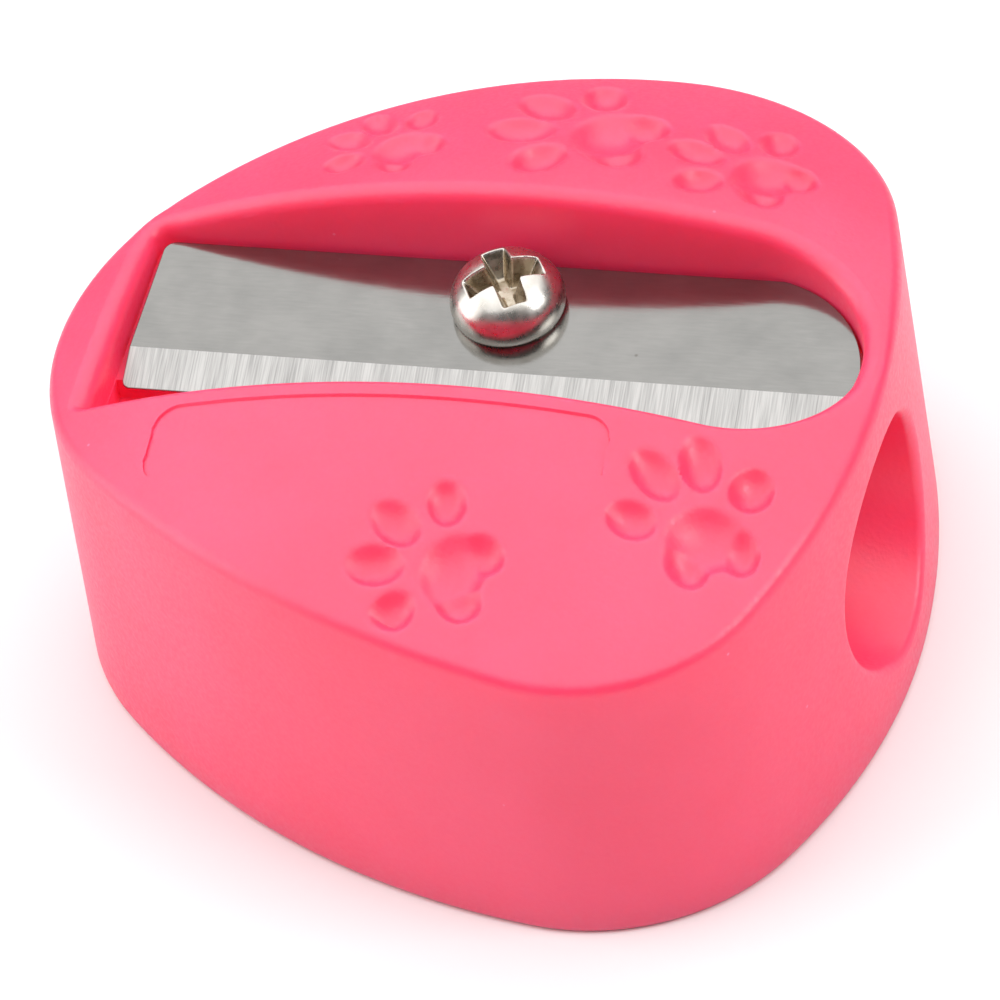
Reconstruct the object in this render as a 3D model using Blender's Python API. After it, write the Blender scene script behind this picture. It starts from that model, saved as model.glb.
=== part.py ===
"""One-hole pencil sharpener: a moulded body, a steel blade and the screw that holds it.

Metres, +Z up. The base is flat at z = 0 and the origin is the middle of the base outline.
+X points out of the pencil hole, -Y is the front, and the blade lies along X in a pocket on top.
Run with: blender --background --python part.py
"""

import math

import bmesh
import bpy
from mathutils import Matrix, Vector

MM = 0.001

# Gap kept between the blade, the screw and the body wherever they meet.
CLEARANCE = 0.3 * MM

# Blade: a flat steel strip with one bevelled cutting edge and one rounded end.
BLADE_LENGTH = 23.5 * MM
BLADE_WIDTH = 5.65 * MM
BLADE_THICKNESS = 0.5 * MM
BEVEL_WIDTH = 1.37 * MM
CUTTING_EDGE_LAND = 0.05 * MM
BLADE_CORNER_RADIUS = 0.5 * MM
BLADE_TILT = math.radians(4.0)

# Screw: a domed pan head with a cross recess on a coarse self-tapping shank.
SCREW_FROM_BLADE_END = 12.0 * MM
SCREW_DIAMETER = 2.4 * MM
SCREW_LENGTH = 5.4 * MM
THREAD_DEPTH = 0.28 * MM
THREAD_PITCH = 0.95 * MM
SCREW_POINT_LENGTH = 0.9 * MM
RIDGE_SHARE = 0.5
TIP_SHARE = 0.15
HEAD_SEAT_WIDTH = 0.15 * MM
HEAD_BULGE = 0.17 * MM
HEAD_HEIGHT = 1.65 * MM
HEAD_RIM_HEIGHT = 0.45 * MM
HEAD_RIM_TAPER = 0.985
HEAD_DOME_POWER = 1.15
HEAD_TO_WALL = 0.15 * MM
RECESS_SPAN = 2.5 * MM
RECESS_ARM_WIDTH = 0.9 * MM
RECESS_DEPTH = 1.1 * MM
RECESS_TAPER = 0.55
RECESS_TURN = math.radians(30.0)

# Pencil bore: a short round entry, then a cone whose top line is level with the cutting edge.
BORE_DIAMETER = 8.0 * MM
CONE_HALF_ANGLE = math.radians(11.5)
ENTRY_LENGTH = 2.4 * MM
CONE_TIP_RADIUS = 0.45 * MM
MOUTH_FLARE = 0.3 * MM
MOUTH_FLARE_DEPTH = 0.6 * MM
FLOOR_UNDER_BORE = 1.65 * MM

# Pocket on top: it holds the blade and leaves the gap that the shavings leave by.
SHAVINGS_GAP = 2.27 * MM
SLOT_LEDGE = 0.1 * MM
SLOT_UNDER_BLADE = 0.35 * MM
POCKET_EDGE_ROUND = 0.4 * MM
POCKET_OFFSET = 0.34 * MM
TIP_WALL = 2.56 * MM
NOSE_WALL = 1.44 * MM
PILOT_DEPTH_SPARE = 0.5 * MM

# Body outline at the base: a rounded triangle of tangent arcs. Its nose is flatter on the back half.
BODY_WIDTH = 27.56 * MM
TIP_RADIUS = 9.1 * MM
SIDE_RADIUS = 26.7 * MM
FRONT_CORNER_RADIUS = 7.5 * MM
FRONT_NOSE_RADIUS = 20.3 * MM
BACK_CORNER_RADIUS = 8.0 * MM
BACK_NOSE_RADIUS = 28.0 * MM
DRAFT_ANGLE = math.radians(2.5)
EDGE_ROUND = 0.45 * MM

# Crown: a shallow dome over the whole top.
CROWN_OVER_EDGE = 4.05 * MM
CROWN_RADIUS_ALONG = 33.5 * MM
CROWN_RADIUS_ACROSS = 32.0 * MM
CROWN_SETBACK = 1.5 * MM

# Paw prints: one pad and four toes each, sunk into the crown.
# (distance along X from the screw, distance out from the pocket's edge, side, heading, size)
PAW_PRINTS = (
    (1.5 * MM, 6.41 * MM, -1, math.radians(164), 1.0),
    (8.7 * MM, 4.21 * MM, -1, math.radians(120), 1.02),
    (-4.3 * MM, 2.73 * MM, 1, math.radians(143), 1.0),
    (2.4 * MM, 4.03 * MM, 1, math.radians(165), 1.2),
    (7.6 * MM, 3.03 * MM, 1, math.radians(148), 1.05),
)
PIT_DEPTH = 0.35 * MM
INNER_TOE_REACH = 2.65 * MM
OUTER_TOE_REACH = 2.18 * MM
INNER_TOE_SIZE = (1.85 * MM, 1.3 * MM)
OUTER_TOE_SIZE = (1.5 * MM, 1.2 * MM)
INNER_TOE_TURN = math.radians(16)
OUTER_TOE_TURN = math.radians(55)
PAD_SIZE = (1.8 * MM, 2.1 * MM)
PAD_LOBE_SIZE = (1.5 * MM, 1.25 * MM)
PAD_LOBE_OFFSET = (0.42 * MM, 0.72 * MM)

# Name panel: a barely sunk, blank rounded rectangle in front of the pocket.
PANEL_LENGTH = 14.7 * MM
PANEL_WIDTH = 2.65 * MM
PANEL_CORNER = 0.75 * MM
PANEL_DEPTH = 0.1 * MM
PANEL_FROM_LIP = 0.7 * MM
PANEL_FROM_POCKET_END = 2.8 * MM

# Places and sizes that follow from the sizes above.
HOLE_RADIUS = SCREW_DIAMETER / 2 + CLEARANCE
HEAD_UNDERSIDE_RADIUS = HOLE_RADIUS + HEAD_SEAT_WIDTH
HEAD_RADIUS = HEAD_UNDERSIDE_RADIUS + HEAD_BULGE
SCREW_FROM_CUTTING_EDGE = BLADE_WIDTH + CLEARANCE - HEAD_TO_WALL - HEAD_RADIUS
POCKET_LENGTH = BLADE_LENGTH + 2 * CLEARANCE
POCKET_WIDTH = BLADE_WIDTH + CLEARANCE + SHAVINGS_GAP
BODY_LENGTH = TIP_WALL + POCKET_LENGTH + NOSE_WALL
POCKET_LEFT = TIP_WALL - BODY_LENGTH / 2
POCKET_RIGHT = POCKET_LEFT + POCKET_LENGTH
POCKET_FRONT = POCKET_OFFSET - POCKET_WIDTH / 2
POCKET_BACK = POCKET_OFFSET + POCKET_WIDTH / 2
CUTTING_EDGE_Y = POCKET_FRONT + SHAVINGS_GAP
BORE_RADIUS = BORE_DIAMETER / 2
MOUTH_X = BODY_LENGTH / 2
MOUTH_AXIS_Z = FLOOR_UNDER_BORE + BORE_RADIUS / math.cos(CONE_HALF_ANGLE)
CONE_X = MOUTH_X - ENTRY_LENGTH
CONE_AXIS_Z = MOUTH_AXIS_Z + ENTRY_LENGTH * math.tan(CONE_HALF_ANGLE)
CUTTING_EDGE_Z = CONE_AXIS_Z + BORE_RADIUS * math.cos(CONE_HALF_ANGLE)
CROWN_TOP = CUTTING_EDGE_Z + CROWN_OVER_EDGE
SCREW_X = POCKET_LEFT + CLEARANCE + SCREW_FROM_BLADE_END
SCREW_Y = CUTTING_EDGE_Y + SCREW_FROM_CUTTING_EDGE * math.cos(BLADE_TILT)

# How far a cutter reaches past the surface that it opens.
REACH = 1.0 * MM

# Fineness of the round shapes.
ARC_STEPS = 12
LINE_STEPS = 12
BORE_STEPS = 48
PIT_STEPS = 16
SCREW_STEPS = 20
DOME_STEPS = 8
ROWS_PER_TURN = 6
EDGE_STEPS = 3
CROWN_RINGS = (0.93, 0.8, 0.64, 0.46, 0.26)
PANEL_RINGS = (0.12, 0.5, 0.8, 1.0)


def crown_z(x, y):
    """Height of the crown over a point of the plan."""
    along = (x - SCREW_X) ** 2 / (2 * CROWN_RADIUS_ALONG)
    across = (y - CROWN_SETBACK) ** 2 / (2 * CROWN_RADIUS_ACROSS)
    return CROWN_TOP - along - across


def crown_normal(x, y):
    """Outward direction of the crown over a point of the plan."""
    lean_x = (x - SCREW_X) / CROWN_RADIUS_ALONG
    lean_y = (y - CROWN_SETBACK) / CROWN_RADIUS_ACROSS
    return Vector((lean_x, lean_y, 1)).normalized()


def seat_z(y):
    """Height of the sloping pocket floor under the blade."""
    level = CUTTING_EDGE_Z - CLEARANCE / math.cos(BLADE_TILT)
    return level + (y - CUTTING_EDGE_Y) * math.tan(BLADE_TILT)


def arc_points(centre, radius, start, end, steps=ARC_STEPS):
    """Points along an arc, both ends included."""
    angles = [start + (end - start) * step / steps for step in range(steps + 1)]
    return [(centre[0] + radius * math.cos(a), centre[1] + radius * math.sin(a)) for a in angles]


def line_points(start, end, steps):
    """Points along a straight line, without its end."""
    spans = [step / steps for step in range(steps)]
    return [(start[0] + (end[0] - start[0]) * t, start[1] + (end[1] - start[1]) * t) for t in spans]


def direction(start, end):
    return math.atan2(end[1] - start[1], end[0] - start[0])


def half_outline(corner_radius, nose_radius, inset):
    """Half of the body's outline, drawn in by inset: tip, side, corner and nose arcs above X."""
    tip = Vector((TIP_RADIUS - BODY_LENGTH / 2, 0))
    nose = Vector((BODY_LENGTH / 2 - nose_radius, 0))
    corner_y = BODY_WIDTH / 2 - corner_radius
    corner_x = nose.x + math.sqrt((nose_radius - corner_radius) ** 2 - corner_y**2)
    corner = Vector((corner_x, corner_y))
    # The side arc touches the tip and corner arcs from outside, so its centre is this far from theirs.
    to_tip = SIDE_RADIUS - TIP_RADIUS
    to_corner = SIDE_RADIUS - corner_radius
    span = corner - tip
    along = (to_tip**2 - to_corner**2 + span.length_squared) / (2 * span.length)
    across = math.sqrt(to_tip**2 - along**2)
    unit = span.normalized()
    side = tip + unit * along + Vector((unit.y, -unit.x)) * across
    turns = (math.pi, direction(side, tip), direction(side, corner), direction(nose, corner), 0)
    arcs = ((tip, TIP_RADIUS), (side, SIDE_RADIUS), (corner, corner_radius), (nose, nose_radius))
    points = []
    for (centre, radius), start, end in zip(arcs, turns, turns[1:]):
        points += arc_points(centre, radius - inset, start, end)[:-1]
    return points


def body_outline(inset):
    """The body's whole outline, drawn in by inset: front half, nose point and back half."""
    back = half_outline(BACK_CORNER_RADIUS, BACK_NOSE_RADIUS, inset)
    front = half_outline(FRONT_CORNER_RADIUS, FRONT_NOSE_RADIUS, inset)
    nose_point = (BODY_LENGTH / 2 - inset, 0)
    return [*((x, -y) for x, y in front[1:]), nose_point, *reversed(back)]


def rim_outline():
    """The outline where the drafted wall meets the crown, as points in space."""
    base = body_outline(0)
    heights = [crown_z(x, y) for x, y in base]
    points = []
    for index, height in enumerate(heights):
        x, y = body_outline(height * math.tan(DRAFT_ANGLE))[index]
        points.append((x, y, crown_z(x, y)))
    return points


def pocket_outline(grow):
    """The pocket's outline: square at the tip end and round at the nose end, widened by grow."""
    radius = POCKET_WIDTH / 2
    centre = (POCKET_RIGHT - radius, POCKET_OFFSET)
    left = POCKET_LEFT - grow
    nose = arc_points(centre, radius + grow, -math.pi / 2, math.pi / 2, 2 * ARC_STEPS)
    front_corner = (left, POCKET_FRONT - grow)
    back_corner = (left, POCKET_BACK + grow)
    return [
        *line_points(front_corner, nose[0], LINE_STEPS),
        *nose[:-1],
        *line_points(nose[-1], back_corner, LINE_STEPS),
        *line_points(back_corner, front_corner, LINE_STEPS // 3),
    ]


def rounded_rectangle(x_low, x_high, y_low, y_high, radius):
    """A rounded rectangle whose long sides have enough points to follow the crown."""
    corners = (
        (x_high - radius, y_low + radius, -math.pi / 2),
        (x_high - radius, y_high - radius, 0),
        (x_low + radius, y_high - radius, math.pi / 2),
        (x_low + radius, y_low + radius, math.pi),
    )
    arcs = [
        arc_points((x, y), radius, start, start + math.pi / 2, ARC_STEPS // 2)
        for x, y, start in corners
    ]
    points = []
    for index, arc in enumerate(arcs):
        after = arcs[(index + 1) % len(arcs)]
        steps = LINE_STEPS if index % 2 else LINE_STEPS // 6
        points += arc[:-1] + line_points(arc[-1], after[0], steps)
    return points


def material(name, colour, roughness, metallic):
    made = bpy.data.materials.new(name)
    made.use_nodes = True
    shader = made.node_tree.nodes["Principled BSDF"]
    shader.inputs["Base Color"].default_value = (*colour, 1)
    shader.inputs["Roughness"].default_value = roughness
    shader.inputs["Metallic"].default_value = metallic
    return made


def pink_plastic():
    return material("pink_plastic", (0.95, 0.13, 0.27), 0.45, 0.0)


def blade_steel():
    return material("blade_steel", (0.42, 0.42, 0.41), 0.3, 1.0)


def nickel_plate():
    return material("nickel_plate", (0.62, 0.58, 0.52), 0.15, 1.0)


def add_object(name, work):
    """An object made from a bmesh, with its faces pointing outwards."""
    bmesh.ops.recalc_face_normals(work, faces=work.faces)
    mesh = bpy.data.meshes.new(name)
    work.to_mesh(mesh)
    work.free()
    made = bpy.data.objects.new(name, mesh)
    bpy.context.scene.collection.objects.link(made)
    return made


def stack_of_loops(work, loops):
    """Joins closed loops of equal length into a skin, with a face on the first and the last."""
    rings = [[work.verts.new(point) for point in loop] for loop in loops]
    for lower, upper in zip(rings, rings[1:]):
        for index in range(len(lower)):
            after = (index + 1) % len(lower)
            work.faces.new((lower[index], lower[after], upper[after], upper[index]))
    work.faces.new(reversed(rings[0]))
    work.faces.new(rings[-1])


def turned(profile, steps):
    """A solid turned about Z from (radius, height) points that start and end on the axis."""
    work = bmesh.new()
    points = [work.verts.new((radius, 0, height)) for radius, height in profile]
    edges = [work.edges.new(pair) for pair in zip(points, points[1:])]
    bmesh.ops.spin(
        work,
        geom=[*points, *edges],
        axis=(0, 0, 1),
        cent=(0, 0, 0),
        angle=2 * math.pi,
        steps=steps,
        use_merge=True,
    )
    bmesh.ops.remove_doubles(work, verts=work.verts, dist=1e-7)
    return work


def cut(target, cutter, name):
    """Takes a helper's shape out of target."""
    cutter.hide_render = True
    cutter.display_type = "WIRE"
    modifier = target.modifiers.new(name, "BOOLEAN")
    modifier.operation = "DIFFERENCE"
    modifier.object = cutter


def smooth(made, angle):
    made.data.shade_smooth()
    made.data.set_sharp_from_angle(angle=math.radians(angle))


def make_blank():
    """The body before anything is cut from it: flat base, drafted wall and crown."""
    base = body_outline(0)
    rim = rim_outline()
    work = bmesh.new()
    loops = [[(x, y, 0) for x, y in base], rim]
    for scale in CROWN_RINGS:
        ring = [(x * scale, y * scale) for x, y, _ in rim]
        loops.append([(x, y, crown_z(x, y)) for x, y in ring])
    stack_of_loops(work, loops)
    work.faces.ensure_lookup_table()
    centre = bmesh.ops.poke(work, faces=[work.faces[-1]])["verts"][0]
    centre.co.z = crown_z(centre.co.x, centre.co.y)
    blank = add_object("body", work)
    rounding = blank.modifiers.new("edge_round", "BEVEL")
    rounding.width = EDGE_ROUND
    rounding.segments = EDGE_STEPS
    rounding.limit_method = "ANGLE"
    rounding.angle_limit = math.radians(45)
    return blank


def make_pocket_cutter():
    """The pocket above the blade seat, opening to the crown over a rounded edge."""
    inner = pocket_outline(0)
    loops = [[(x, y, seat_z(y)) for x, y in inner]]
    for step in range(EDGE_STEPS + 1):
        angle = math.pi / 2 * step / EDGE_STEPS
        outline = pocket_outline(POCKET_EDGE_ROUND * (1 - math.cos(angle)))
        drop = POCKET_EDGE_ROUND * (1 - math.sin(angle))
        loops.append([(x, y, crown_z(x, y) - drop) for x, y in outline])
    above = CROWN_TOP + REACH
    loops.append([(x, y, above) for x, y in pocket_outline(POCKET_EDGE_ROUND)])
    work = bmesh.new()
    stack_of_loops(work, loops)
    return add_object("pocket_cutter", work)


def bore_axis():
    """Point where the bore's axis leaves the nose, and the direction along it into the body."""
    start = Vector((MOUTH_X, CUTTING_EDGE_Y, MOUTH_AXIS_Z))
    return start, Vector((-math.cos(CONE_HALF_ANGLE), 0, math.sin(CONE_HALF_ANGLE)))


def make_bore_cutter():
    """Flared mouth, round entry and cone, turned about the bore's axis."""
    entry = ENTRY_LENGTH / math.cos(CONE_HALF_ANGLE)
    cone = (BORE_RADIUS - CONE_TIP_RADIUS) / math.tan(CONE_HALF_ANGLE)
    outside = 2 * REACH
    flare_radius = BORE_RADIUS + MOUTH_FLARE
    profile = (
        (0, -outside),
        (flare_radius + outside / 4, -outside),
        (flare_radius, -MOUTH_FLARE_DEPTH / 4),
        (BORE_RADIUS, MOUTH_FLARE_DEPTH),
        (BORE_RADIUS, entry),
        (CONE_TIP_RADIUS, entry + cone),
        (0, entry + cone),
    )
    cutter = add_object("bore_cutter", turned(profile, BORE_STEPS))
    start, along = bore_axis()
    cutter.location = start
    cutter.rotation_euler = along.to_track_quat("Z", "Y").to_euler()
    return cutter


def make_slot_cutter():
    """The gap between cutting edge and lip, open from the bore's axis up into the pocket."""
    left = POCKET_LEFT + CLEARANCE + BLADE_CORNER_RADIUS
    right = POCKET_RIGHT - POCKET_WIDTH / 2
    front = POCKET_FRONT + SLOT_LEDGE
    back = CUTTING_EDGE_Y + SLOT_UNDER_BLADE
    top = CUTTING_EDGE_Z + BLADE_THICKNESS
    slope = math.tan(CONE_HALF_ANGLE)
    tip_x = CONE_X - (CUTTING_EDGE_Z - CONE_AXIS_Z) / slope
    floor = CUTTING_EDGE_Z - (right - tip_x) * slope
    tip_floor = CUTTING_EDGE_Z - CONE_TIP_RADIUS - CLEARANCE
    outline = (
        (left, tip_floor),
        (tip_x + (CUTTING_EDGE_Z - tip_floor) / slope, tip_floor),
        (right, floor),
        (right, top),
        (left, top),
    )
    work = bmesh.new()
    stack_of_loops(work, [[(x, y, z) for x, z in outline] for y in (front, back)])
    return add_object("slot_cutter", work)


def make_pilot_cutter(seat):
    """The hole that the screw bites into."""
    depth = SCREW_LENGTH - BLADE_THICKNESS - 2 * CLEARANCE + PILOT_DEPTH_SPARE
    tip = depth + HOLE_RADIUS / 2
    profile = ((0, REACH), (HOLE_RADIUS, REACH), (HOLE_RADIUS, -depth), (0, -tip))
    cutter = add_object("pilot_cutter", turned(tuple(reversed(profile)), 2 * SCREW_STEPS))
    cutter.parent = seat
    return cutter


def add_pit(work, x, y, size, turn):
    """Adds a flat ellipsoid, half sunk in the crown, with its long side turned to turn."""
    upright = crown_normal(x, y).to_track_quat("Z", "Y").to_matrix().to_4x4()
    place = Matrix.Translation((x, y, crown_z(x, y))) @ upright
    # to_track_quat leaves the ellipsoid turned about its own Z, so its long side is set from the plan.
    ahead = upright.to_3x3().inverted() @ Vector((math.cos(turn), math.sin(turn), 0))
    place = place @ Matrix.Rotation(math.atan2(ahead.y, ahead.x), 4, "Z")
    place = place @ Matrix.Diagonal((size[0] / 2, size[1] / 2, PIT_DEPTH, 1))
    bmesh.ops.create_uvsphere(
        work, u_segments=PIT_STEPS, v_segments=PIT_STEPS // 2, radius=1, matrix=place
    )


def paw_places():
    """Pad centre, heading and size of each paw print."""
    for along, outward, side, heading, size in PAW_PRINTS:
        edge = POCKET_BACK if side > 0 else POCKET_FRONT
        yield SCREW_X + along, edge + side * outward, heading, size


def make_toe_cutter():
    """The toes and the pad centres of every paw print."""
    toes = (
        (INNER_TOE_REACH, INNER_TOE_SIZE, INNER_TOE_TURN),
        (INNER_TOE_REACH, INNER_TOE_SIZE, -INNER_TOE_TURN),
        (OUTER_TOE_REACH, OUTER_TOE_SIZE, OUTER_TOE_TURN),
        (OUTER_TOE_REACH, OUTER_TOE_SIZE, -OUTER_TOE_TURN),
    )
    work = bmesh.new()
    for x, y, heading, size in paw_places():
        add_pit(work, x, y, [length * size for length in PAD_SIZE], heading)
        for reach, toe_size, turn in toes:
            angle = heading + turn
            toe_x = x + size * reach * math.cos(angle)
            toe_y = y + size * reach * math.sin(angle)
            add_pit(work, toe_x, toe_y, [length * size for length in toe_size], angle)
    return add_object("toe_cutter", work)


def make_lobe_cutter(side):
    """One heel lobe of every pad, on the side given as 1 or -1."""
    back, out = PAD_LOBE_OFFSET
    work = bmesh.new()
    for x, y, heading, size in paw_places():
        ahead = Vector((math.cos(heading), math.sin(heading))) * size
        left = Vector((-ahead.y, ahead.x))
        place = Vector((x, y)) - ahead * back + left * out * side
        lobe = [length * size for length in PAD_LOBE_SIZE]
        add_pit(work, place.x, place.y, lobe, heading)
    return add_object("lobe_cutter_left" if side > 0 else "lobe_cutter_right", work)


def make_panel_cutter():
    """The blank panel in front of the pocket, its floor following the crown."""
    left = POCKET_LEFT + PANEL_FROM_POCKET_END
    back = POCKET_FRONT - PANEL_FROM_LIP
    outline = rounded_rectangle(left, left + PANEL_LENGTH, back - PANEL_WIDTH, back, PANEL_CORNER)
    middle = Vector((left + PANEL_LENGTH / 2, back - PANEL_WIDTH / 2))
    rings = []
    for scale in PANEL_RINGS:
        ring = [middle + (Vector(point) - middle) * scale for point in outline]
        rings.append([(p.x, p.y, crown_z(p.x, p.y) - PANEL_DEPTH) for p in ring])
    rings.append([(x, y, CROWN_TOP + REACH) for x, y in outline])
    work = bmesh.new()
    stack_of_loops(work, rings)
    bmesh.ops.triangulate(work, faces=[face for face in work.faces if len(face.verts) > 4])
    return add_object("panel_cutter", work)


def make_body(seat):
    """The moulded body: crown, pocket, shavings gap, pencil bore, pilot hole, paws and panel."""
    body = make_blank()
    body.data.materials.append(pink_plastic())
    cut(body, make_panel_cutter(), "panel")
    cut(body, make_toe_cutter(), "toes")
    cut(body, make_lobe_cutter(1), "left_lobes")
    cut(body, make_lobe_cutter(-1), "right_lobes")
    cut(body, make_pocket_cutter(), "pocket")
    cut(body, make_slot_cutter(), "shavings_gap")
    cut(body, make_bore_cutter(), "pencil_bore")
    cut(body, make_pilot_cutter(seat), "pilot_hole")
    smooth(body, 35)
    return body


def blade_outline():
    """The blade from above, about the screw's axis: the round end follows the pocket."""
    left = -SCREW_FROM_BLADE_END
    front = -SCREW_FROM_CUTTING_EDGE
    back = front + BLADE_WIDTH
    round_radius = POCKET_WIDTH / 2 - CLEARANCE
    centre = (left + BLADE_LENGTH - round_radius, back - round_radius)
    end = math.asin((front - centre[1]) / round_radius)
    corner = (left + BLADE_CORNER_RADIUS, back - BLADE_CORNER_RADIUS)
    return [
        (left, front),
        *arc_points(centre, round_radius, end, math.pi / 2, 2 * ARC_STEPS),
        *arc_points(corner, BLADE_CORNER_RADIUS, math.pi / 2, math.pi, 4),
    ]


def make_blade(seat):
    """The blade, bevelled on top so that its cutting edge lies along the top of the cone."""
    outline = blade_outline()
    work = bmesh.new()
    stack_of_loops(work, [[(x, y, z) for x, y in outline] for z in (0, BLADE_THICKNESS)])
    rise = BLADE_THICKNESS - CUTTING_EDGE_LAND
    bmesh.ops.bisect_plane(
        work,
        geom=[*work.verts, *work.edges, *work.faces],
        plane_co=(0, -SCREW_FROM_CUTTING_EDGE, CUTTING_EDGE_LAND),
        plane_no=(0, -rise, BEVEL_WIDTH),
        clear_outer=True,
    )
    bmesh.ops.holes_fill(work, edges=[edge for edge in work.edges if edge.is_boundary])
    blade = add_object("blade", work)
    blade.data.materials.append(blade_steel())
    blade.parent = seat
    blade.location.z = CLEARANCE
    hole = ((0, -REACH), (HOLE_RADIUS, -REACH), (HOLE_RADIUS, REACH), (0, REACH))
    cutter = add_object("blade_hole_cutter", turned(hole, 2 * SCREW_STEPS))
    cutter.parent = seat
    cutter.location.z = CLEARANCE
    cut(blade, cutter, "screw_hole")
    smooth(blade, 25)
    return blade


def head_profile():
    """(radius, height) points of the head's outside, from the top down to its flat underside."""
    dome = HEAD_HEIGHT - HEAD_RIM_HEIGHT
    points = []
    for step in range(1, DOME_STEPS + 1):
        angle = math.pi / 2 * (1 - step / DOME_STEPS)
        flattened = math.sin(angle) ** HEAD_DOME_POWER
        points.append((HEAD_RADIUS * math.cos(angle), HEAD_RIM_HEIGHT + dome * flattened))
    points.append((HEAD_RADIUS * HEAD_RIM_TAPER, HEAD_RIM_HEIGHT / 3))
    points.append((HEAD_UNDERSIDE_RADIUS, 0))
    return points


def thread_radius(angle, depth):
    """Radius of the shank at an angle and a depth under the head: one helical ridge on a core."""
    core = SCREW_DIAMETER / 2 - THREAD_DEPTH
    phase = (depth / THREAD_PITCH + angle / (2 * math.pi)) % 1
    ridge = max(0.0, 1 - abs(phase - 0.5) * 2 / RIDGE_SHARE)
    to_point = min(1.0, (SCREW_LENGTH - depth) / SCREW_POINT_LENGTH)
    return (core + THREAD_DEPTH * ridge) * max(to_point, TIP_SHARE)


def make_recess_cutter():
    """The cross recess: a four-armed outline that narrows towards its floor."""
    long = RECESS_SPAN / 2
    short = RECESS_ARM_WIDTH / 2
    arm = ((long, -short), (long, short), (short, short))
    cross = []
    for quarter in range(4):
        turn = Matrix.Rotation(RECESS_TURN + quarter * math.pi / 2, 2)
        cross += [turn @ Vector(point) for point in arm]
    above = HEAD_HEIGHT + REACH
    work = bmesh.new()
    floor = [(p.x * RECESS_TAPER, p.y * RECESS_TAPER, HEAD_HEIGHT - RECESS_DEPTH) for p in cross]
    spread = 1 + (1 - RECESS_TAPER) * REACH / RECESS_DEPTH
    mouth = [(p.x * spread, p.y * spread, above) for p in cross]
    stack_of_loops(work, [floor, mouth])
    return add_object("recess_cutter", work)


def make_screw(seat):
    """The blade screw, head and threaded shank in one piece, standing square to the blade."""
    angles = [2 * math.pi * step / SCREW_STEPS for step in range(SCREW_STEPS)]
    loops = [[(r * math.cos(a), r * math.sin(a), z) for a in angles] for r, z in head_profile()]
    rows = math.ceil(SCREW_LENGTH / THREAD_PITCH * ROWS_PER_TURN)
    for row in range(rows + 1):
        depth = SCREW_LENGTH * row / rows
        radii = [thread_radius(a, depth) for a in angles]
        loops.append([(r * math.cos(a), r * math.sin(a), -depth) for r, a in zip(radii, angles)])
    work = bmesh.new()
    stack_of_loops(work, loops)
    screw = add_object("blade_screw", work)
    screw.data.materials.append(nickel_plate())
    cutter = make_recess_cutter()
    cut(screw, cutter, "cross_recess")
    for piece in (screw, cutter):
        piece.parent = seat
        piece.location.z = BLADE_THICKNESS + 2 * CLEARANCE
    smooth(screw, 40)
    return screw


def make_seat():
    """An empty on the blade seat under the screw, tilted as the blade is."""
    seat = bpy.data.objects.new("blade_seat", None)
    bpy.context.scene.collection.objects.link(seat)
    seat.location = (SCREW_X, SCREW_Y, seat_z(SCREW_Y))
    seat.rotation_euler.x = BLADE_TILT
    return seat


def main():
    for old in list(bpy.data.objects):
        bpy.data.objects.remove(old)
    seat = make_seat()
    make_body(seat)
    make_blade(seat)
    make_screw(seat)


main()
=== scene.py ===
"""Finished looks of a one-hole pencil sharpener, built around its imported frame.

The moulded body, the blade and the blade screw each replace their plain solid with a fine mesh
that has soft edges, paw prints, a ground bevel, a cross recess and a procedural finish.

Sizes and places are in millimetres unless a name says otherwise; meshes are made in metres.
+X points out of the pencil hole, -Y is the front, and the base stands on z = 0.
"""

from __future__ import annotations

import logging
import math
from collections.abc import Sequence
from dataclasses import dataclass, field
from enum import Enum

import bmesh
import bpy
import numpy as np
from mathutils import Matrix, Vector


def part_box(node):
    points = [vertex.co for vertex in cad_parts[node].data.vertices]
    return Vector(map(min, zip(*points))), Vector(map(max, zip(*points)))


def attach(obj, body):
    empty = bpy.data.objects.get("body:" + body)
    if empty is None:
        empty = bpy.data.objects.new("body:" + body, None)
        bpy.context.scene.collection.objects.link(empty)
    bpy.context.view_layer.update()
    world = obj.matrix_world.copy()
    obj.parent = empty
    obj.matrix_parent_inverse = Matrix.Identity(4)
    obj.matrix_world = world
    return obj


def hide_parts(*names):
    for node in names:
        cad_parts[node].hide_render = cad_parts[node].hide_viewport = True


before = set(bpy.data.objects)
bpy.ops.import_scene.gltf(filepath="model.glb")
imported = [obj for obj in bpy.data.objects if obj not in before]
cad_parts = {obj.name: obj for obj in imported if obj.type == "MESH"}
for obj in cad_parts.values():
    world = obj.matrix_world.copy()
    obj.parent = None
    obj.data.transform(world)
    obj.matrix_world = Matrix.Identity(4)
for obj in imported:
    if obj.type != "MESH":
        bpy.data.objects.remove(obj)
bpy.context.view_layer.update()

MM = 0.001
BISECTIONS = 48
Socket = bpy.types.NodeSocket
BODY_NAME = "root"
Colour = tuple[float, float, float]

log = logging.getLogger("pencil_sharpener")


class Slot(Enum):
    """Material slots of the record that the pieces take their finish from."""

    PLASTIC = "pink_plastic"
    STEEL = "blade_steel"
    NICKEL = "nickel_plate"


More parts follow.
